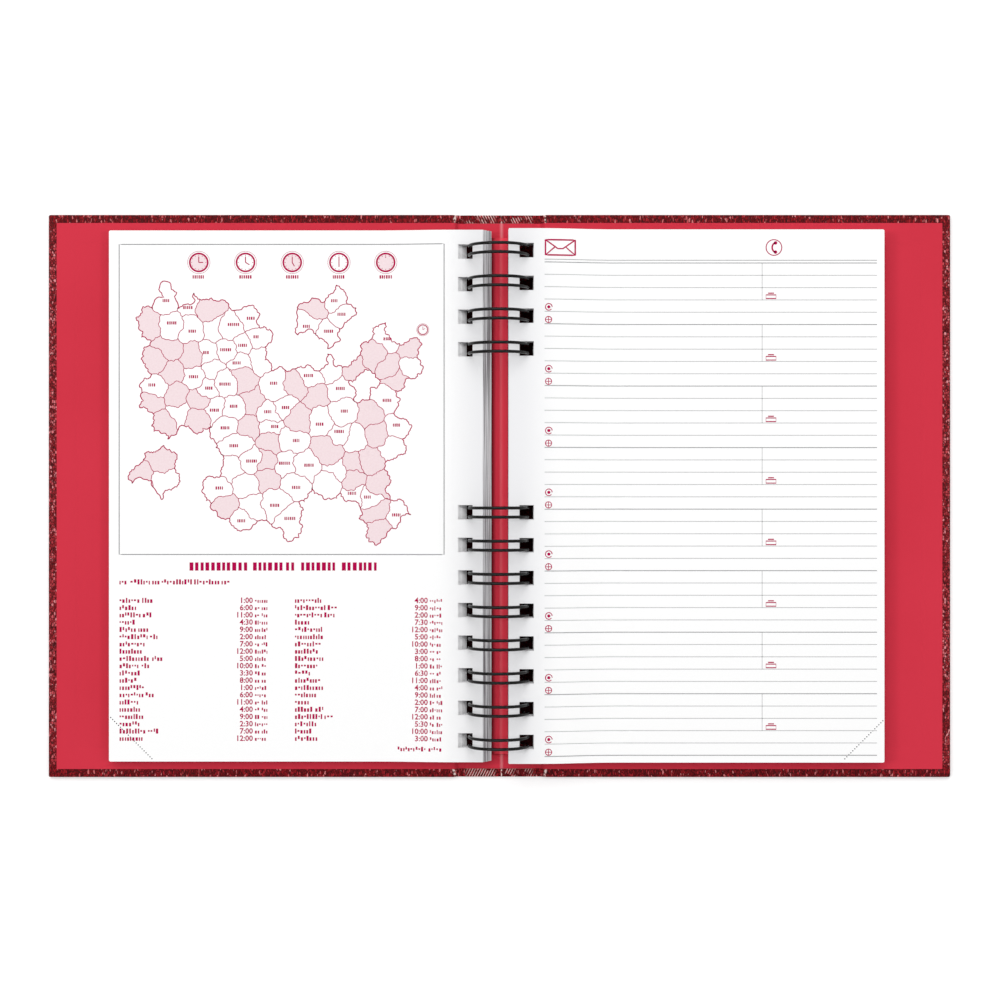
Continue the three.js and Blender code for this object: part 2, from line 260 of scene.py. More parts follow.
def lining_paper(name, painted_flank_light_and_shade=False):
    """Crimson paper with a painted highlight along its crease; on the binding strip one flank has a
    painted shadow and the crest and far flank a painted highlight
    """
    f = Finish(name, 0.72, 0.1)
    fibre = f.noise(2600, 3)
    broad = f.noise(16, 2)
    body = f.ramp(broad, [(0.3, shade(207, 50, 68)), (0.7, shade(212, 53, 72))])
    body = f.mix(f.math("MULTIPLY", fibre, 0.16), body, shade(184, 38, 56))
    across = f.node("SeparateXYZ", {0: f.where}).outputs[0]
    # Painted highlight: a pale line along the crease, broken by noise
    away = f.math("ABSOLUTE", f.math("SUBTRACT", across, CREASE / 1000))
    line = f.node("MapRange", {0: away, 1: 0.0001, 2: 0.0009, 3: 0.55, 4: 0.0}).outputs[0]
    broken = f.node("MapRange", {0: f.noise(90, 2), 1: 0.2, 2: 0.7, 3: 0.55, 4: 1.0}).outputs[0]
    body = f.mix(f.math("MULTIPLY", line, broken), body, shade(234, 158, 164))
    if painted_flank_light_and_shade:
        # Painted shadow: the left flank darker, as in the shade of the left stack
        flank = f.between(across, -0.0031, -0.0011, 1.0, 0.0)
        body = f.mix(f.math("MULTIPLY", flank, 0.8), body, shade(96, 8, 16))
        # Painted highlight: the crest and right flank lighter, as lit from the right
        body = f.mix(f.between(across, -0.0005, 0.0012, 0.0, 0.8), body, shade(238, 66, 84))
    f.colour(body)
    f.bump(fibre, 0.00003, 0.5)
    return f.material


def painted_shade_lining():
    """Painted shade: the lining deep under the punched holes, coloured dark as the shadow there"""
    f = Finish("lining_painted_shade_under_holes", 0.85, 0.05)
    fibre = f.noise(2600, 3)
    f.colour(f.ramp(fibre, [(0.3, shade(46, 12, 15)), (0.75, shade(62, 16, 20))]))
    f.bump(fibre, 0.00003, 0.5)
    return f.material


def leaf_paper():
    """White paper with painted shade: greyer toward its punched edge, as the gutter's shade, and
    darker in streaks where the leaning leaves of the left stack step out
    """
    f = Finish("writing_paper", 0.85, 0.12)
    fibre = f.noise(1900, 4)
    body = f.ramp(fibre, [(0.2, shade(252, 252, 252)), (0.8, shade(255, 255, 255))])
    across = f.node("SeparateXYZ", {0: f.where}).outputs[0]
    far = f.math("ABSOLUTE", across)
    # Painted shade: greyer toward the gutter
    body = f.mix(f.between(far, 0.006, 0.026, 1.0, 0.0), body, shade(238, 238, 240))
    # Painted shade: dark streaks in the band where the left stack's leaning leaves step out, as the
    # shade between them
    lines = f.noise(1.0, 2, f.stretched(3400, 26, 900))
    step_shade_band = f.between(across, -0.0067, -0.0062, 0.0, 1.0)
    step_shade_band = f.math("MULTIPLY", step_shade_band, f.between(across, -0.0036, -0.003, 1.0, 0.0))
    dark = f.math("MULTIPLY", f.between(lines, 0.36, 0.6, 1.0, 0.1), step_shade_band)
    f.colour(f.mix(f.math("MULTIPLY", dark, 0.85), body, shade(112, 104, 110)))
    f.bump(fibre, 0.00002, 0.4)
    return f.material


def leaf_edges():
    """The cut edges of a stack, grey in streaks: painted shade for the gaps between leaves"""
    f = Finish("cut_edges_of_leaves_painted_shade", 0.9, 0.05)
    streak = f.noise(1.0, 2, f.stretched(2600, 40, 5200))
    f.colour(f.ramp(streak, [(0.34, shade(118, 112, 117)), (0.66, shade(206, 202, 205))]))
    f.bump(streak, 0.00003, 0.5)
    return f.material


def coated_wire():
    f = Finish("black_nylon_coated_wire", 0.2, 0.16)
    flow = f.noise(700, 3)
    f.colour(f.ramp(flow, [(0.3, shade(6, 6, 6)), (0.75, shade(14, 13, 13))]))
    f.roughness(f.node("MapRange", {0: flow, 3: 0.14, 4: 0.24}).outputs[0])
    f.bump(f.noise(2200, 2), 0.00002, 0.5)
    return f.material


def cover_board():
    f = Finish("grey_cover_board", 0.9, 0.2)
    fibre = f.noise(240, 6, f.stretched(1, 2.4, 1))
    f.colour(f.ramp(fibre, [(0.25, shade(146, 134, 116)), (0.8, shade(190, 178, 158))]))
    f.bump(fibre, 0.0001, 0.5)
    return f.material


def printing_ink(name, dark, light):
    f = Finish(name, 0.8, 0.06)
    f.colour(f.ramp(f.noise(1400, 3), [(0.3, shade(*dark)), (0.75, shade(*light))]))
    f.bump(f.noise(2600, 2), 0.00001, 0.4)
    return f.material


SKIN_OUTSIDE = lizard_leatherette("leatherette_outside", "outside")
SKIN_BANDS = lizard_leatherette("leatherette_bands", "bands")
SKIN_MIDDLE = lizard_leatherette("leatherette_folded_middle", "folded middle")
PAINTED_SHADE_LINING = painted_shade_lining()
LINING_FINISH = lining_paper("crimson_lining")
STRIP_FINISH = lining_paper("crimson_binding_strip", True)
PAPER_FINISH = leaf_paper()
EDGE_SHADE_FINISH = leaf_edges()
WIRE_FINISH = coated_wire()
BOARD_FINISH = cover_board()
MAGENTA = printing_ink("magenta_ink", (170, 0, 68), (184, 5, 80))
PINK = printing_ink("pink_tint", (240, 218, 222), (244, 226, 229))
GREY_RULE = printing_ink("pale_grey_rule", (184, 184, 185), (196, 196, 197))
DARK_RULE = printing_ink("grey_rule", (146, 146, 148), (162, 162, 164))
DOT = printing_ink("perforation_shade", (38, 36, 38), (58, 56, 58))


# Making pieces


def link(name, mesh, finish):
    piece = bpy.data.objects.new(name, mesh)
    bpy.context.scene.collection.objects.link(piece)
    mesh.materials.clear()
    mesh.materials.append(finish)
    return piece


def drawn_mesh(name, points, faces, edges=()):
    """A mesh as it is drawn, from points in millimetres"""
    mesh = bpy.data.meshes.new(name)
    mesh.from_pydata([Vector(p) / 1000 for p in points], edges, faces)
    return mesh


def grid_faces(rows, columns, start=0):
    """The faces between the points of a grid, counted along each row"""
    corners = [start + i * columns + j for i in range(rows - 1) for j in range(columns - 1)]
    return [[a, a + 1, a + columns + 1, a + columns] for a in corners]


def solid_mesh(name, points, faces):
    """A closed mesh with its faces turned outwards"""
    mesh = drawn_mesh(name, points, faces)
    work = bmesh.new()
    work.from_mesh(mesh)
    bmesh.ops.remove_doubles(work, verts=work.verts, dist=1e-8)
    bmesh.ops.recalc_face_normals(work, faces=work.faces)
    work.to_mesh(mesh)
    work.free()
    return mesh


def soften(mesh, degrees=35):
    mesh.shade_smooth()
    mesh.set_sharp_from_angle(angle=math.radians(degrees))


def make(name, points, faces, finish, degrees=35):
    mesh = solid_mesh(name, points, faces)
    soften(mesh, degrees)
    return link(name, mesh, finish)


def bake(piece):
    """What the piece's modifiers give, as its plain mesh"""
    graph = bpy.context.evaluated_depsgraph_get()
    result = bpy.data.meshes.new_from_object(piece.evaluated_get(graph))
    piece.modifiers.clear()
    piece.data = result
    return piece


def slab(flat, faces, place, thickness):
    """A closed slab from faces drawn flat; place(u, v, height) gives each point"""
    count = len(flat)
    points = [place(u, v, thickness) for u, v in flat] + [place(u, v, 0.0) for u, v in flat]
    closed = [list(f) for f in faces] + [[i + count for i in reversed(f)] for f in faces]
    rim = set()
    for face in faces:
        for a, b in zip(face, list(face[1:]) + [face[0]]):
            if (b, a) in rim:
                rim.discard((b, a))
            else:
                rim.add((a, b))
    closed += [[b, a, a + count, b + count] for a, b in sorted(rim)]
    return points, closed


# Node trees for what repeats


def new_tree(name, **sockets):
    """An empty tree with named inputs and one result"""
    tree = bpy.data.node_groups.new(name, "GeometryNodeTree")
    ids = {}
    for label, kind in sockets.items():
        made = tree.interface.new_socket(label, in_out="INPUT", socket_type="NodeSocket" + kind)
        ids[label] = made.identifier
    tree.interface.new_socket("Result", in_out="OUTPUT", socket_type="NodeSocketGeometry")
    start = tree.nodes.new("NodeGroupInput")
    end = tree.nodes.new("NodeGroupOutput")
    return tree, ids, start.outputs, end.inputs[0]


def ended(tree, geometry, finish, result):
    real = add(tree, "GeometryNodeRealizeInstances", {"Geometry": geometry})
    coat = {"Geometry": real.outputs[0], "Material": finish}
    tree.links.new(add(tree, "GeometryNodeSetMaterial", coat).outputs[0], result)


def packet_tree():
    """One leaf, laid over and over, each a little out of line with the last"""
    tree, ids, given, result = new_tree(
        "leaves_in_a_packet",
        Leaf="Geometry",
        Leaves="Int",
        Step="Vector",
        Shuffle="Vector",
        Seed="Int",
        Paper="Material",
    )
    line = add(tree, "GeometryNodeMeshLine", {"Count": given["Leaves"], "Offset": given["Step"]})
    shuffle = given["Shuffle"]
    back = add(tree, "ShaderNodeVectorMath", {0: shuffle, "Scale": -1.0}, operation="SCALE")
    ends = {0: back.outputs[0], 1: shuffle, "Seed": given["Seed"]}
    stray = add(tree, "FunctionNodeRandomValue", ends, data_type="FLOAT_VECTOR")
    moves = {"Geometry": line.outputs[0], "Offset": stray.outputs[0]}
    moved = add(tree, "GeometryNodeSetPosition", moves)
    leaves_on = {"Points": moved.outputs[0], "Instance": given["Leaf"]}
    laid = add(tree, "GeometryNodeInstanceOnPoints", leaves_on)
    ended(tree, laid.outputs[0], given["Paper"], result)
    return tree, ids


def wire_tree():
    """A round wire drawn along its path"""
    tree, ids, given, result = new_tree(
        "wire_on_its_path", Path="Geometry", Radius="Float", Sides="Int", Coating="Material"
    )
    line = add(tree, "GeometryNodeMeshToCurve", {"Mesh": given["Path"]})
    size = {"Resolution": given["Sides"], "Radius": given["Radius"]}
    ring = add(tree, "GeometryNodeCurvePrimitiveCircle", size)
    sweep = {"Curve": line.outputs[0], "Profile Curve": ring.outputs[0], "Fill Caps": True}
    drawn = add(tree, "GeometryNodeCurveToMesh", sweep)
    ended(tree, drawn.outputs[0], given["Coating"], result)
    return tree, ids


def perforation_tree():
    """A row of small pricked dots from one point to another"""
    tree, ids, given, result = new_tree(
        "perforation_row",
        Base="Geometry",
        Dots="Int",
        From="Vector",
        To="Vector",
        Radius="Float",
        Depth="Float",
        Shade="Material",
    )
    run = {"Count": given["Dots"], "Start Location": given["From"], "Offset": given["To"]}
    row = add(tree, "GeometryNodeMeshLine", run, mode="END_POINTS")
    size = {"Vertices": 8, "Radius": given["Radius"], "Depth": given["Depth"]}
    dot = add(tree, "GeometryNodeMeshCylinder", size)
    dots_on = {"Points": row.outputs[0], "Instance": dot.outputs[0]}
    set_out = add(tree, "GeometryNodeInstanceOnPoints", dots_on)
    ended(tree, set_out.outputs[0], given["Shade"], result)
    return tree, ids


def grown(piece, built, values):
    """The piece after a node tree with these inputs, as a plain mesh"""
    tree, ids = built
    modifier = piece.modifiers.new(tree.name, "NODES")
    modifier.node_group = tree
    for label, value in values.items():
        modifier[ids[label]] = value
    return bake(piece)


PACKET = packet_tree()
WIRE = wire_tree()
PERFORATION = perforation_tree()


# Camera, light and floor


def set_camera():
    data = bpy.data.cameras.new("camera_above")
    data.sensor_width, data.lens = 36.0, LENS
    data.shift_x, data.shift_y = SHIFT
    data.clip_start, data.clip_end = 0.01, 20.0
    camera = bpy.data.objects.new("camera_above", data)
    camera.location = (0.0, 0.0, CAMERA_HEIGHT)
    bpy.context.scene.collection.objects.link(camera)
    bpy.context.scene.camera = camera


def set_light():
    def lamp(name, place, size, power):
        data = bpy.data.lights.new(name, "AREA")
        data.shape = "SQUARE"
        data.size = size
        data.energy = power
        made = bpy.data.objects.new(name, data)
        made.location = place
        made.rotation_euler = (-Vector(place)).to_track_quat("-Z", "Y").to_euler()
        bpy.context.scene.collection.objects.link(made)

    lamp("softbox_head", (-0.1, 0.85, 1.7), 1.4, 17.8)
    lamp("softbox_left", (-1.0, 0.1, 1.5), 0.3, 5.1)
    lamp("softbox_right", (1.0, 0.0, 1.5), 0.3, 3.6)

    world = bpy.data.worlds.new("studio")
    bpy.context.scene.world = world
    world.use_nodes = True
    tree = world.node_tree
    background = tree.nodes["Background"]
    path = tree.nodes.new("ShaderNodeLightPath")
    seen = path.outputs["Is Camera Ray"]
    for other in ("Is Glossy Ray", "Is Transmission Ray"):
        either = {0: seen, 1: path.outputs[other]}
        seen = add(tree, "ShaderNodeMath", either, operation="MAXIMUM").outputs[0]
    level = add(tree, "ShaderNodeMapRange", {0: seen, 3: WORLD_LIGHT, 4: 1.0})
    tree.links.new(level.outputs[0], background.inputs["Strength"])
    background.inputs["Color"].default_value = (1, 1, 1, 1)


def set_floor():
    f = Finish("studio_floor", 0.9, 0.1)
    f.colour(f.ramp(f.noise(3), [(0.0, shade(244, 244, 244)), (1.0, shade(248, 248, 248))]))
    part = f.math("MULTIPLY", f.node("LightPath", {}).outputs["Is Camera Ray"], FLOOR_GLOW)
    glow = f.node("Emission", {"Color": (1, 1, 1, 1), "Strength": part})
    both = f.node("AddShader", {0: f.shader.outputs[0], 1: glow.outputs[0]})
    f.tree.links.new(both.outputs[0], f.tree.nodes["Material Output"].inputs["Surface"])
    signs = ((-1, -1), (1, -1), (1, 1), (-1, 1))
    points = [(x * FLOOR_HALF, y * FLOOR_HALF, FLOOR_AT) for x, y in signs]
    link("floor", drawn_mesh("floor", points, [(0, 1, 2, 3)]), f.material)


# Cover


def band_top(x):
    """Height of the turned-in skin at the head and tail, from the spine out to the board"""
    x = abs(x)
    low = lerp(SPINE_TOP, 0.95, ease(12.4, 15.0, x))
    return lerp(low, TURN_IN_TOP, ease(15.4, 18.6, x))


def wrinkle(x, y):
    """Small slanting folds in the turned-in skin over the spine"""
    x_far = abs(x)
    near = ease(2.6, 4.5, x_far) * (1 - ease(11.0, 14.0, x_far))
    fold = math.sin(2 * math.pi * (x + 0.55 * abs(y)) / 1.25 + 1.4 * math.sin(x * 0.9))
    return 0.11 * near * max(0.0, fold) ** 1.5


def crease(x):
    return 0.16 * math.exp(-(((x - CREASE) / 0.55) ** 2))


def turn_in_depth(x):
    return lerp(SPINE_TURN_IN, TURN_IN, ease(18.8, 20.6, abs(x)))


def under_cover(x):
    """The outside of the cover: flat, with a shallow pressed groove along each joint"""
    return 0.2 * math.exp(-(((abs(x) - JOINT) / 1.1) ** 2))


def stations_across(limit):
    xs = [0.35 * i for i in range(int(20 / 0.35) + 1)]
    xs += [22, 25, 30] + list(range(40, int(limit) - 8, 10)) + [limit]
    return xs


def half_skin(name, side):
    """Half of the skin: outside sheet, rounded edges, and turn-ins at head, fore-edge and tail"""
    r = EDGE_ROUND
    xs = stations_across(COVER_HALF - r)
    turns = 5
    ys = [(-HEAD + r) + (2 * (HEAD - r)) * i / 40 for i in range(41)]
    arc = [math.radians(a) for a in (22.5, 45, 67.5, 90)]
    rings = [(1.0, "low", 0.0)]
    rings += [(1 - math.sin(a), "low", 1 - math.cos(a)) for a in arc]
    rings += [(0.0, "high", 1.0)]
    rings += [(1 - math.cos(a), "high", 1 - math.sin(a)) for a in arc]

    def profile(k, x):
        """Inset and height of ring k at x"""
        top = band_top(x)
        rr = min(r, top / 2 - 0.02)
        if k >= len(rings):
            return lerp(rr, turn_in_depth(x), (0.12, 0.3, 1.0)[k - len(rings)]), top
        inset, which, share = rings[k]
        if which == "high":
            return inset * rr, top - rr * share
        return inset * rr, rr * share + under_cover(x) * (1 - share)

    count = len(rings) + 3
    route = [("head", x) for x in xs]
    route += [("corner_head", i / turns) for i in range(1, turns)]
    route += [("fore", y) for y in reversed(ys)]
    route += [("corner_tail", i / turns) for i in range(1, turns)]
    route += [("tail", x) for x in reversed(xs)]

    def point(stop, k):
        where, t = stop
        inset, z = profile(k, t if where in ("head", "tail") else COVER_HALF)
        back = max(inset, r)
        cx, cy = COVER_HALF - back, HEAD - back
        sign = 1 if where in ("head", "corner_head") else -1
        if where in ("head", "tail"):
            x = min(t, cx)
            if z > 0.6 and k >= len(rings):
                z += wrinkle(side * x, inset) + crease(side * x) * 0.6
            return (side * x, sign * (HEAD - inset), z)
        if where == "fore":
            return (side * (COVER_HALF - inset), max(-cy, min(cy, t)), z)
        bend, swing = max(r - inset, 0.0), math.radians(90 * t)
        dx, dy = math.sin(swing), math.cos(swing)
        if where == "corner_tail":
            dx, dy = dy, dx
        return (side * (cx + bend * dx), sign * (cy + bend * dy), z)

    points = [point(stop, k) for stop in route for k in range(count)]
    faces = grid_faces(len(route), count) + grid_faces(len(xs), len(ys), len(points))
    points += [(side * x, y, under_cover(x)) for x in xs for y in ys]
    mesh = drawn_mesh(name, points, faces)
    work = bmesh.new()
    work.from_mesh(mesh)
    bmesh.ops.remove_doubles(work, verts=work.verts, dist=2e-6)
    bmesh.ops.dissolve_degenerate(work, edges=work.edges, dist=1e-7)
    bmesh.ops.recalc_face_normals(work, faces=work.faces)
    down = sum(f.normal.z * f.calc_area() for f in work.faces if f.calc_center_median().z < 0.0003)
    if down > 0:
        bmesh.ops.reverse_faces(work, faces=work.faces)
    work.to_mesh(mesh)
    work.free()
    piece = link(name, mesh, SKIN_OUTSIDE)
    wall = piece.modifiers.new("skin thickness", "SOLIDIFY")
    wall.thickness = SKIN * 0.92 / 1000
    wall.offset = -1
    bake(piece)
    soften(piece.data, 50)
    piece.data.materials.append(SKIN_BANDS)
    piece.data.materials.append(SKIN_MIDDLE)
    for face in piece.data.polygons:
        x, _, z = face.center * 1000
        if z > BAND_FROM:
            face.material_index = 2 if abs(x) < FOLDED_MIDDLE else 1
    return piece


def lining_top(x, y, side):
    far = abs(x)
    z = lerp(SPINE_TOP, 0.8, ease(12.9, 14.2, far))
    z = lerp(z, COVER_TOP, ease(15.9, 17.9, far))
    into_board = ease(0.0, 1.4, far - JOINT - 6.0)
    from_rim = min(COVER_HALF - TURN_IN - far, HEAD - TURN_IN - abs(y))
    z -= 0.08 * ease(-0.6, 0.6, from_rim) * into_board
    return z + crease(side * far)


def half_lining(name, side):
    xs = stations_across(COVER_HALF - TURN_IN_SHOWING)
    rim = COVER_HALF - TURN_IN
    xs = sorted(set(xs + [rim - 0.7, rim - 0.2, rim + 0.3, rim + 0.8]))
    reach = HEAD - TURN_IN_SHOWING
    fold = HEAD - TURN_IN
    ys = sorted(
        [-reach + 2 * reach * i / 24 for i in range(25)]
        + [s * (fold + d) for s in (-1, 1) for d in (-0.7, -0.2, 0.3, 0.8)]
    )
    flat = [(x, y) for x in xs for y in ys]

    def place(x, y, h):
        return (side * x, y, lining_top(x, y, side) - LINING + h)

    points, closed = slab(flat, grid_faces(len(xs), len(ys)), place, LINING)
    piece = make(name, points, closed, LINING_FINISH, 40)
    # Painted shade: the faces under the punched holes take the dark finish that stands in for their
    # shadow
    piece.data.materials.append(PAINTED_SHADE_LINING)
    for face in piece.data.polygons:
        x, y, _ = face.center * 1000
        below = UNDER_HOLES[0] < abs(x) < UNDER_HOLES[1] and abs(y) < UNDER_HOLES_END
        if below and face.normal.z > 0.3:
            face.material_index = 1
    return piece


def cover():
    for label, side, body in (("front", -1, "front_cover"), ("back", 1, "back_cover")):
        skin = half_skin(label + "_cover_skin", side)
        lining = half_lining(label + "_cover_lining", side)
        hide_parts(label + "_skin")
        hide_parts(label + "_lining")
        if side > 0:
            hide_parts("spine_skin")
            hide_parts("spine_lining")
        for piece, slot in ((skin, "skin"), (lining, "lining")):
            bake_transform(piece)
    for node in ("front_board", "back_board", "spine_stiffener"):
        dress(node, BOARD_FINISH)


def dress(node, finish):
    """A CAD solid that stays, in its own finish"""
    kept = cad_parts[node]
    for slot in kept.material_slots:
        slot.material = finish
    if not kept.material_slots:
        kept.data.materials.append(finish)


# Wire


def loop_y(index):
    return (index - 7.5) * PITCH


def on_loop(angle, y):
    return (WIRE_X + LOOP_R * math.cos(angle), y, WIRE_Z + LOOP_R * math.sin(angle))


def link_bend(foot, y, way):
    bend = []
    for i in range(1, 9):
        t = (math.pi / 2) * i / 8
        angle = foot - LINK_BEND * math.sin(t) / LOOP_R
        bend.append(on_loop(angle, y + way * LINK_BEND * (1 - math.cos(t))))
    return bend if way > 0 else bend[::-1]


def wire_path(loops):
    half = LEGS / 2
    foot = math.radians(LINK_ANGLE) + LINK_BEND / LOOP_R
    shoulder = math.radians(TIP_ANGLE) - half / LOOP_R
    steps = 64
    path = []
    for count, index in enumerate(loops):
        y = loop_y(index)
        if count:
            path += link_bend(foot, y - half, -1)
        leg = [lerp(foot, shoulder, i / steps) for i in range(steps + 1)]
        path += [on_loop(a, y - half) for a in leg]
        for i in range(1, 12):
            t = math.pi * i / 12
            path.append(on_loop(shoulder + half * math.sin(t) / LOOP_R, y - half * math.cos(t)))
        path += [on_loop(a, y + half) for a in reversed(leg)]
        if count < len(loops) - 1:
            path += link_bend(foot, y + half, 1)
    return path


def wires():
    for name, loops in WIRES.items():
        path = wire_path(loops)
        edges = [(i, i + 1) for i in range(len(path) - 1)]
        mesh = drawn_mesh(name + "_path", path, [], edges)
        piece = link("loops_of_" + name, mesh, WIRE_FINISH)
        grown(piece, WIRE, {"Radius": WIRE_R / 1000, "Sides": 12, "Coating": WIRE_FINISH})
        soften(piece.data, 60)
        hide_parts(name)
        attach(piece, "spine")


def binding_strip():
    """The strip over the feet of the loops, softly arched, its crest in line with the crease"""
    left, right = WIRE_X - STRIP_LEFT, WIRE_X + STRIP_RIGHT
    crest = WIRE_X + STRIP_CREST_AT
    top = WIRE_Z - STRIP_CLEAR_R + STRIP_CREST_HEIGHT
    reach = loop_y(15) + PITCH / 2
    across = [lerp(left, right, i / 20) for i in range(21)]

    def under(x):
        return WIRE_Z - math.sqrt(STRIP_CLEAR_R**2 - (x - WIRE_X) ** 2)

    def height(x):
        edge = left if x < crest else right
        from_crest = abs(x - crest) / abs(edge - crest)
        return lerp(top, under(edge) + STRIP_EDGE, from_crest**1.6)

    ring = [(x, height(x)) for x in across] + [(x, under(x)) for x in reversed(across)]
    straight = reach - STRIP_END
    rows = [-straight + 2 * straight * i / 60 for i in range(61)]
    ends = [straight + STRIP_END * i / 8 for i in range(1, 9)]
    rows = [-y for y in reversed(ends)] + rows + ends
    points, faces = [], []
    for y in rows:
        drop = STRIP_END_DROP * ease(straight, reach, abs(y))
        points += [(x, y, z - drop) for x, z in ring]
    n = len(ring)
    for i in range(len(rows) - 1):
        for k in range(n):
            a, b = i * n + k, i * n + (k + 1) % n
            faces.append([a, b, b + n, a + n])
    faces.append(list(range(n)))
    faces.append([(len(rows) - 1) * n + k for k in reversed(range(n))])
    piece = make("crimson_binding_strip", points, faces, STRIP_FINISH, 50)
    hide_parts("binding_strip")
    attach(piece, "spine")


# Leaves


def rise(u, lift):
    t = min(1.0, max(0.0, (u - FLAT) / CURVE))
    return lift * (0.5 + 0.5 * math.cos(math.pi * t))


def leaf_faces():
    """One leaf drawn flat, from its inner edge out and its head down: punched, corners rounded"""
    us = [0, HOLE_IN, HOLE_IN + HOLE, FLAT]
    us += [FLAT + CURVE * i / 24 for i in range(1, 25)]
    us += [70, 105, LEAF_W - CORNER, LEAF_W]
    middles = sorted(LEAF_H / 2 - loop_y(i) for i in FILLED)
    vs = [0, CORNER] + [m + d for m in middles for d in (-HOLE / 2, HOLE / 2)]
    vs += [LEAF_H - CORNER, LEAF_H]
    known, flat, faces = {}, [], []

    def at(u, v):
        key = (round(u, 4), round(v, 4))
        if key not in known:
            known[key] = len(flat)
            flat.append(key)
        return known[key]

    for i in range(len(us) - 1):
        for j in range(len(vs) - 1):
            u0, u1, v0, v1 = us[i], us[i + 1], vs[j], vs[j + 1]
            mid = (v0 + v1) / 2
            if i == 1 and any(abs(mid - m) < HOLE / 2 for m in middles):
                continue
            if i == len(us) - 2 and j in (0, len(vs) - 2):
                cv, turn = (v1, -1) if j == 0 else (v0, 1)
                arc = [
                    at(u0 + CORNER * math.sin(a), cv + turn * CORNER * math.cos(a))
                    for a in (math.pi / 2 * k / 5 for k in range(6))
                ]
                face = [at(u0, cv)] + arc
                faces.append(face if turn < 0 else [face[0]] + face[:0:-1])
            else:
                faces.append([at(u0, v0), at(u1, v0), at(u1, v1), at(u0, v1)])
    return flat, faces


def on_leaf(side, inner, base, lift):
    """Where a point drawn on a leaf lies: out from its inner edge, down from its head, and up"""

    def place(u, v, h):
        return (side * (inner + u), LEAF_H / 2 - v, base + rise(u, lift) + h)

    return place


def stack_plan(spec):
    """Foot and inner edge of every packet and loose leaf, from the cover up"""
    steps = [spec["packet"]] * spec["packets"] + [LEAF] * spec["loose"]
    total = sum(steps) + LEAF_GAP * (len(steps) - 1)
    foot, plan = STACK_FOOT, []

    def inner_at(z):
        return spec["inner"] - spec["lean"] * (1 - (z - STACK_FOOT) / total)

    for thickness in steps:
        plan.append((foot, thickness, inner_at(foot), inner_at(foot + thickness)))
        foot += thickness + LEAF_GAP
    return plan


def grey_edges(piece):
    """Gives the upright faces of leaves the finish of cut edges, with its painted shade"""
    piece.data.materials.append(EDGE_SHADE_FINISH)
    for face in piece.data.polygons:
        if abs(face.normal.z) < 0.35:
            face.material_index = 1


def leaves():
    flat, faces = leaf_faces()
    tops = {}
    for label, spec, body in (("right", RIGHT, "right_pages"), ("left", LEFT, "left_pages")):
        side, lift = spec["side"], spec["lift"]
        plan = stack_plan(spec)
        for i in range(spec["packets"]):
            foot, thickness, low, high = plan[i]
            count = 9
            step = (thickness - PAPER) / (count - 1)
            place = on_leaf(side, low, foot, lift)
            points, closed = slab(flat, faces, place, PAPER)
            name = f"{label}_packet_{i + 1}"
            piece = make("leaves_of_" + name, points, closed, PAPER_FINISH)
            grown(
                piece,
                PACKET,
                {
                    "Leaves": count,
                    "Step": (side * (high - low) / (count - 1) / 1000, 0.0, step / 1000),
                    "Shuffle": (0.0002, 0.00014, 0.0),
                    "Seed": 5 + i + 10 * side,
                    "Paper": PAPER_FINISH,
                },
            )
            soften(piece.data, 30)
            grey_edges(piece)
            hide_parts(name)
            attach(piece, body)
        for i in range(spec["loose"]):
            foot, thickness, low, high = plan[spec["packets"] + i]
            number = spec["loose"] - i
            place = on_leaf(side, high, foot + thickness - LOOSE_PAPER, lift)
            points, closed = slab(flat, faces, place, LOOSE_PAPER)
            name = f"{label}_leaf_{number}"
            piece = make("sheet_of_" + name, points, closed, PAPER_FINISH, 30)
            grey_edges(piece)
            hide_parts(name)
            rides = name if side > 0 else body
            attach(piece, rides)
            tops[name] = (side, high, foot + thickness, lift, rides)
    return tops


# Printing: drawn in millimetres from the top left corner of the page as it is read


def round_about(x, y, radius, sides):
    turn = [2 * math.pi * i / sides for i in range(sides)]
    return [(x + radius * math.cos(a), y + radius * math.sin(a)) for a in turn]


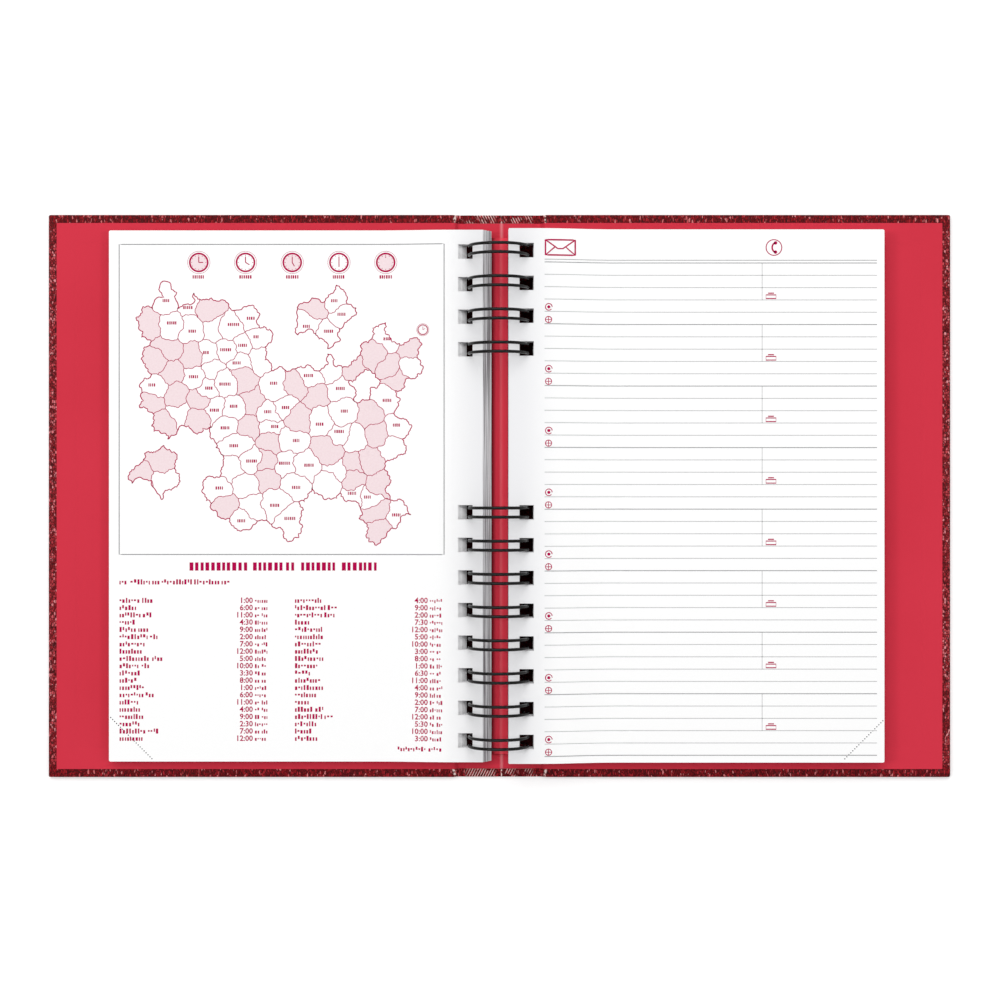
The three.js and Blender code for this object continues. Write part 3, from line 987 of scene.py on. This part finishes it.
class Sheet:
    """Shapes printed on one page in one ink"""

    def __init__(self, name, leaf, finish, height=INK):
        self.name, self.finish, self.height = name, finish, height
        self.side, self.inner, self.base, self.lift, self.body = leaf
        self.flat, self.faces = [], []

    def shape(self, outline):
        start = len(self.flat)
        self.flat += outline
        self.faces.append(list(range(start, start + len(outline))))

    def filled(self, outline):
        start = len(self.flat)
        self.flat += outline
        flat3 = [[Vector((x, y, 0)) for x, y in outline]]
        for tri in tessellate_polygon(flat3):
            self.faces.append([start + i for i in tri])

    def steps_along(self, x0, x1):
        """Enough steps for print between two places to follow the curve of the page"""
        near = min(x0, x1) if self.side > 0 else LEAF_W - max(x0, x1)
        return max(1, math.ceil(abs(x1 - x0) / (1.2 if near < FLAT + CURVE else 12.0)))

    def bar(self, x0, x1, y0, y1):
        steps = self.steps_along(x0, x1)
        start = len(self.flat)
        for i in range(steps + 1):
            x = lerp(x0, x1, i / steps)
            self.flat += [(x, y0), (x, y1)]
        for i in range(steps):
            a = start + 2 * i
            self.faces.append([a, a + 2, a + 3, a + 1])

    def line(self, points, width, closed=False):
        run = points + points[:1] if closed else points
        points = [run[0]]
        for p, q in zip(run, run[1:]):
            steps = self.steps_along(p[0], q[0])
            parts = [i / steps for i in range(1, steps + 1)]
            points += [(lerp(p[0], q[0], t), lerp(p[1], q[1], t)) for t in parts]
        if closed:
            points.pop()
        n = len(points)
        start = len(self.flat)
        for i, (x, y) in enumerate(points):
            before = points[i - 1] if closed or i else points[0]
            after = points[(i + 1) % n] if closed or i + 1 < n else points[-1]
            dx, dy = after[0] - before[0], after[1] - before[1]
            size = math.hypot(dx, dy) or 1.0
            nx, ny = -dy / size * width / 2, dx / size * width / 2
            self.flat += [(x + nx, y + ny), (x - nx, y - ny)]
        for i in range(n if closed else n - 1):
            a, b = start + 2 * i, start + 2 * ((i + 1) % n)
            self.faces.append([a, a + 1, b + 1, b])

    def ring(self, x, y, radius, width, sides=40):
        self.line(round_about(x, y, radius, sides), width, True)

    def disc(self, x, y, radius, sides=32):
        self.shape(round_about(x, y, radius, sides))

    def numbers(self, text, x, y, size):
        """Plain figures, their right edge at x and their foot at y"""
        data = bpy.data.curves.new("figures", "FONT")
        data.body, data.size, data.align_x = text, size, "RIGHT"
        data.resolution_u, data.offset = 2, 0.02 * size
        made = bpy.data.objects.new("figures", data)
        bpy.context.scene.collection.objects.link(made)
        bpy.context.view_layer.update()
        graph = bpy.context.evaluated_depsgraph_get()
        mesh = bpy.data.meshes.new_from_object(made.evaluated_get(graph))
        start = len(self.flat)
        self.flat += [(x + v.co.x, y - v.co.y) for v in mesh.vertices]
        self.faces += [[start + i for i in p.vertices] for p in mesh.polygons]
        bpy.data.objects.remove(made)
        bpy.data.meshes.remove(mesh)
        bpy.data.curves.remove(data)

    def printed(self):
        side, inner = self.side, self.inner

        def out(x):
            return x if side > 0 else LEAF_W - x

        flat = [(out(x), y) for x, y in self.flat]
        place = on_leaf(side, inner, self.base + 0.004, self.lift)

        def upward(face):
            spots = [place(*flat[i], 0.0) for i in face]
            area = sum(a[0] * b[1] - b[0] * a[1] for a, b in zip(spots, spots[1:] + spots[:1]))
            return face if area > 0 else face[::-1]

        points, closed = slab(flat, [upward(face) for face in self.faces], place, self.height)
        piece = link(self.name, drawn_mesh(self.name, points, closed), self.finish)
        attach(piece, self.body)
        return piece


def words(sheet, x, y, size, lengths, gap=1.0, capitals=False):
    """Words that say nothing: a row of small uneven blocks for each, on a line at y"""
    chance = random.Random(f"{x:.1f} {y:.1f} {size}")
    for length in lengths:
        end = x + length
        while x < end - 0.2 * size:
            least, most = (0.3, 0.5) if capitals else (0.24, 0.46)
            wide = min(chance.uniform(least, most) * size, end - x)
            tall = size * (1.0 if capitals or chance.random() < 0.3 else 0.7)
            foot = y - (0.0 if capitals or chance.random() < 0.7 else 0.36 * size)
            sheet.bar(x, x + wide, y - tall, foot)
            x += wide + chance.uniform(0.18, 0.28) * size
        x = end + gap


def contact_rules(name, leaf, detail):
    pale = Sheet(name + "_fine_rules", leaf, GREY_RULE)
    dark = Sheet(name + "_block_rules", leaf, DARK_RULE)
    ink = Sheet(name + "_signs", leaf, MAGENTA)
    x0, x1, split = 13.85, 143.3, 98.6
    first, row = 13.08, 4.789
    dark.bar(x0, x1, first - 1.2, first - 0.94)
    dark.bar(x0, x1, first - 0.16, first + 0.16)
    for block in range(8):
        top = first + block * row * 5
        for i in range(1, 6):
            y = top + i * row
            sheet = dark if i == 5 else pale
            half = 0.16 if i == 5 else 0.14
            sheet.bar(x0, x1, y - half, y + half)
        pale.bar(split - 0.12, split + 0.12, top + 0.1, top + 3 * row)
        if detail:
            small_machine(ink, 100.1, top + 3 * row - 0.55)
            sheet_spiral(ink, 15.5, top + 4 * row - 1.75)
            globe(ink, 15.4, top + 5 * row - 1.65)
    envelope(ink, 14.2, 25.8, 4.45, 10.35)
    receiver(ink, 103.2, 7.05)
    for sheet in (pale, dark, ink):
        sheet.printed()


def small_machine(ink, x, y):
    """A box with a slip of paper out of its top"""
    ink.line([(x, y - 1.4), (x + 3.9, y - 1.4), (x + 3.9, y), (x, y)], 0.42, True)
    ink.bar(x + 0.8, x + 3.1, y - 2.3, y - 1.85)


def sheet_spiral(ink, x, y):
    """A ring round a dot, open at one side"""
    turn = [math.radians(d) for d in range(40, 361, 20)]
    ink.line([(x + 1.3 * math.cos(a), y + 1.3 * math.sin(a)) for a in turn], 0.34)
    ink.disc(x, y, 0.62, 16)


def globe(ink, x, y):
    ink.ring(x, y, 1.2, 0.32, 24)
    ink.bar(x - 1.1, x + 1.1, y - 0.13, y + 0.13)
    ink.line([(x, y - 1.1), (x, y + 1.1)], 0.26)


def envelope(ink, x0, x1, y0, y1):
    ink.line([(x0, y0), (x1, y0), (x1, y1), (x0, y1)], 0.6, True)
    middle = (x0 + x1) / 2
    ink.line([(x0, y0), (middle - 1.0, y0 + 3.4), (middle + 1.0, y0 + 3.4), (x1, y0)], 0.5)
    ink.line([(x0, y1), (middle - 1.9, y0 + 2.6)], 0.46)
    ink.line([(x1, y1), (middle + 1.9, y0 + 2.6)], 0.46)


def receiver(ink, x, y):
    ink.ring(x, y, 3.05, 0.36, 40)
    angles = (math.radians(d) for d in range(105, 256, 15))
    hand = [(x + 0.8 + 1.5 * math.cos(a), y + 1.85 * math.sin(a)) for a in angles]
    ink.line(hand, 0.62)
    for end in (hand[0], hand[-1]):
        ink.disc(end[0] + 0.2, end[1], 0.68, 14)


def nearer(cell, a, b):
    """The part of a cell that lies nearer to a than to b"""
    mx, my = (a[0] + b[0]) / 2, (a[1] + b[1]) / 2
    nx, ny = b[0] - a[0], b[1] - a[1]
    out = []
    for p, q in zip(cell, cell[1:] + cell[:1]):
        dp = (p[0] - mx) * nx + (p[1] - my) * ny
        dq = (q[0] - mx) * nx + (q[1] - my) * ny
        if dp <= 0:
            out.append(p)
        if (dp < 0) != (dq < 0) and dp != dq:
            t = dp / (dp - dq)
            out.append((lerp(p[0], q[0], t), lerp(p[1], q[1], t)))
    return out


def wavered(a, b, amount, depth=4):
    """A line between two points, broken into an uneven one that is the same from both ends"""
    flip = a > b
    p, q = (b, a) if flip else (a, b)
    chance = random.Random(f"{p}{q}{amount}")
    points = [p, q]
    for _ in range(depth):
        longer = [points[0]]
        for s, t in zip(points, points[1:]):
            size = math.hypot(t[0] - s[0], t[1] - s[1])
            shift = chance.uniform(-amount, amount) * size
            mx, my = (s[0] + t[0]) / 2, (s[1] + t[1]) / 2
            if size > 0.9:
                longer.append((mx - (t[1] - s[1]) / size * shift, my + (t[0] - s[0]) / size * shift))
            longer.append(t)
        points = longer
    return points[::-1] if flip else points


def land_cells():
    """A made-up country of uneven districts, with islands off its coast, amid its frame"""
    chance = random.Random(41)
    seeds = []
    while len(seeds) < 190:
        p = (chance.uniform(5, 129), chance.uniform(21, 125))
        if all(math.hypot(p[0] - s[0], p[1] - s[1]) > 5.4 for s in seeds):
            seeds.append(p)
    frame_box = [(3.9, 19.8), (130.0, 19.8), (130.0, 126.0), (3.9, 126.0)]
    blobs = [
        (46, 60, 34, 27),
        (86, 80, 31, 27),
        (60, 102, 20, 17),
        (27, 40, 19, 13),
        (107, 52, 15, 13),
        (104, 110, 9, 8),
        (17, 92, 8, 11),
        (84, 33, 13, 7),
    ]
    bays = [(70, 50, 8, 11), (36, 84, 8, 7), (98, 64, 6, 5), (6.5, 42, 5.5, 5.5)]

    def within(p, ovals):
        return any(((p[0] - x) / a) ** 2 + ((p[1] - y) / b) ** 2 < 1 for x, y, a, b in ovals)

    cells = []
    for s in seeds:
        cell = frame_box
        for other in seeds:
            if other != s:
                cell = nearer(cell, s, other)
        cell = [(round(x, 2), round(y, 2)) for x, y in cell]
        cells.append((cell, within(s, blobs) and not within(s, bays), chance.random()))
    return cells


def land(ink, tint, small):
    cells = [(cell, pick) for cell, inside, pick in land_cells() if inside]
    sides = {}
    for cell, _ in cells:
        for a, b in zip(cell, cell[1:] + cell[:1]):
            if a != b:
                key = tuple(sorted((a, b)))
                sides[key] = sides.get(key, 0) + 1

    def border(a, b):
        coast = sides[tuple(sorted((a, b)))] == 1
        return wavered(a, b, 0.3 if coast else 0.19), 0.38 if coast else 0.26

    for cell, pick in cells:
        loop = []
        for a, b in zip(cell, cell[1:] + cell[:1]):
            if a != b:
                loop += border(a, b)[0][:-1]
        if pick < 0.34:
            tint.filled(loop)
        elif pick > 0.5:
            cx = sum(p[0] for p in cell) / len(cell)
            cy = sum(p[1] for p in cell) / len(cell)
            length = 2.4 + 4.0 * (pick - 0.5)
            words(small, cx - length / 2, cy + 0.5, 1.2, [length], 1.0, True)
    for a, b in sides:
        ink.line(*border(a, b))


def time_page(leaf):
    ink = Sheet("time_page_lines", leaf, MAGENTA, 0.035)
    tint = Sheet("time_page_tint", leaf, PINK, 0.012)
    grey = Sheet("time_page_frame", leaf, DARK_RULE, 0.02)
    text = Sheet("time_page_words", leaf, MAGENTA)
    figures = Sheet("time_page_figures", leaf, MAGENTA)
    grey.line([(4.0, 5.45), (131.0, 5.45), (131.0, 126.6), (4.0, 126.6)], 0.38, True)
    for place, hour in enumerate((3, 4, 5, 6, 7)):
        x = 35.1 + 18.26 * place
        dial(ink, tint, x, 12.5, 3.5, hour)
        words(text, x - 2.4, 18.8, 1.3, [4.8], 1.0, True)
    dial(ink, tint, 122.7, 38.9, 1.9, 2)
    land(ink, tint, text)

    words(text, 31.5, 132.9, 3.2, [23.5, 11.6, 4.6, 14.6, 14.0], 1.3, True)
    words(text, 4.1, 138.3, 2.0, [3.4, 7.6, 2.8, 11.8, 9.8, 3.4], 0.9)
    chance = random.Random(7)
    for column, (x, edge) in enumerate(((4.15, 62.0), (72.7, 130.4))):
        for row in range(20):
            y = 145.5 + row * 2.837
            lengths = [chance.uniform(6, 12)]
            if chance.random() < 0.25:
                lengths.append(chance.uniform(3, 5))
            words(text, x, y, 1.95, lengths, 0.9)
            hour = 1 + (row * 5 + column * 3) % 12
            figures.numbers(f"{hour}:{'30' if row % 7 == 3 else '00'}", edge - 5.75, y, 3.0)
            words(text, edge - 4.95, y, 1.6, [2.2, 2.2], 0.45)
    words(text, 112.8, 203.4, 1.8, [11.2, 5.6], 0.9)
    for sheet in (tint, grey, ink, text, figures):
        sheet.printed()


def dial(ink, tint, x, y, radius, hour):
    ink.ring(x, y, radius * 1.25, 0.13, 40)
    if hour % 2:
        tint.disc(x, y, radius * 0.92)
    ink.ring(x, y, radius, 0.19 * radius, 40)

    def spoke(turn, start, end, width):
        s, c = math.sin(math.radians(turn)), math.cos(math.radians(turn))
        ink.line([(x + r * s, y - r * c) for r in (radius * start, radius * end)], width * radius)

    for k in range(12):
        spoke(30 * k, 0.74, 0.86, 0.055)
    spoke(hour * 30, 0.0, 0.5, 0.1)
    spoke(0, 0.0, 0.66, 0.1)


def perforate(name, leaf, start, end, count):
    """The pricked row that lets a corner of the leaf be torn away"""
    side, inner, base, lift, body = leaf
    place = on_leaf(side, inner, base, lift)

    def spot(x, y):
        return tuple(c / 1000 for c in place(x if side > 0 else LEAF_W - x, y, 0.01))

    mesh = bpy.data.meshes.new(name)
    piece = link(name, mesh, DOT)
    grown(
        piece,
        PERFORATION,
        {
            "Dots": count,
            "From": spot(*start),
            "To": spot(*end),
            "Radius": PRICK_RADIUS / 1000,
            "Depth": PRICK_DEPTH / 1000,
            "Shade": DOT,
        },
    )
    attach(piece, body)


def printing(tops):
    time_page(tops["left_leaf_1"])
    for number in (1, 2, 3):
        contact_rules(f"contact_page_{number}", tops[f"right_leaf_{number}"], number == 1)
    perforate("left_corner_perforation", tops["left_leaf_1"], (0.7, 190.3), (16.8, 206.4), 22)
    perforate("right_corner_perforation", tops["right_leaf_1"], (145.58, 191.22), (130.78, 206.02), 20)


set_camera()
set_light()
set_floor()
cover()
wires()
binding_strip()
printing(leaves())

bpy.context.scene.view_settings.view_transform = "Standard"
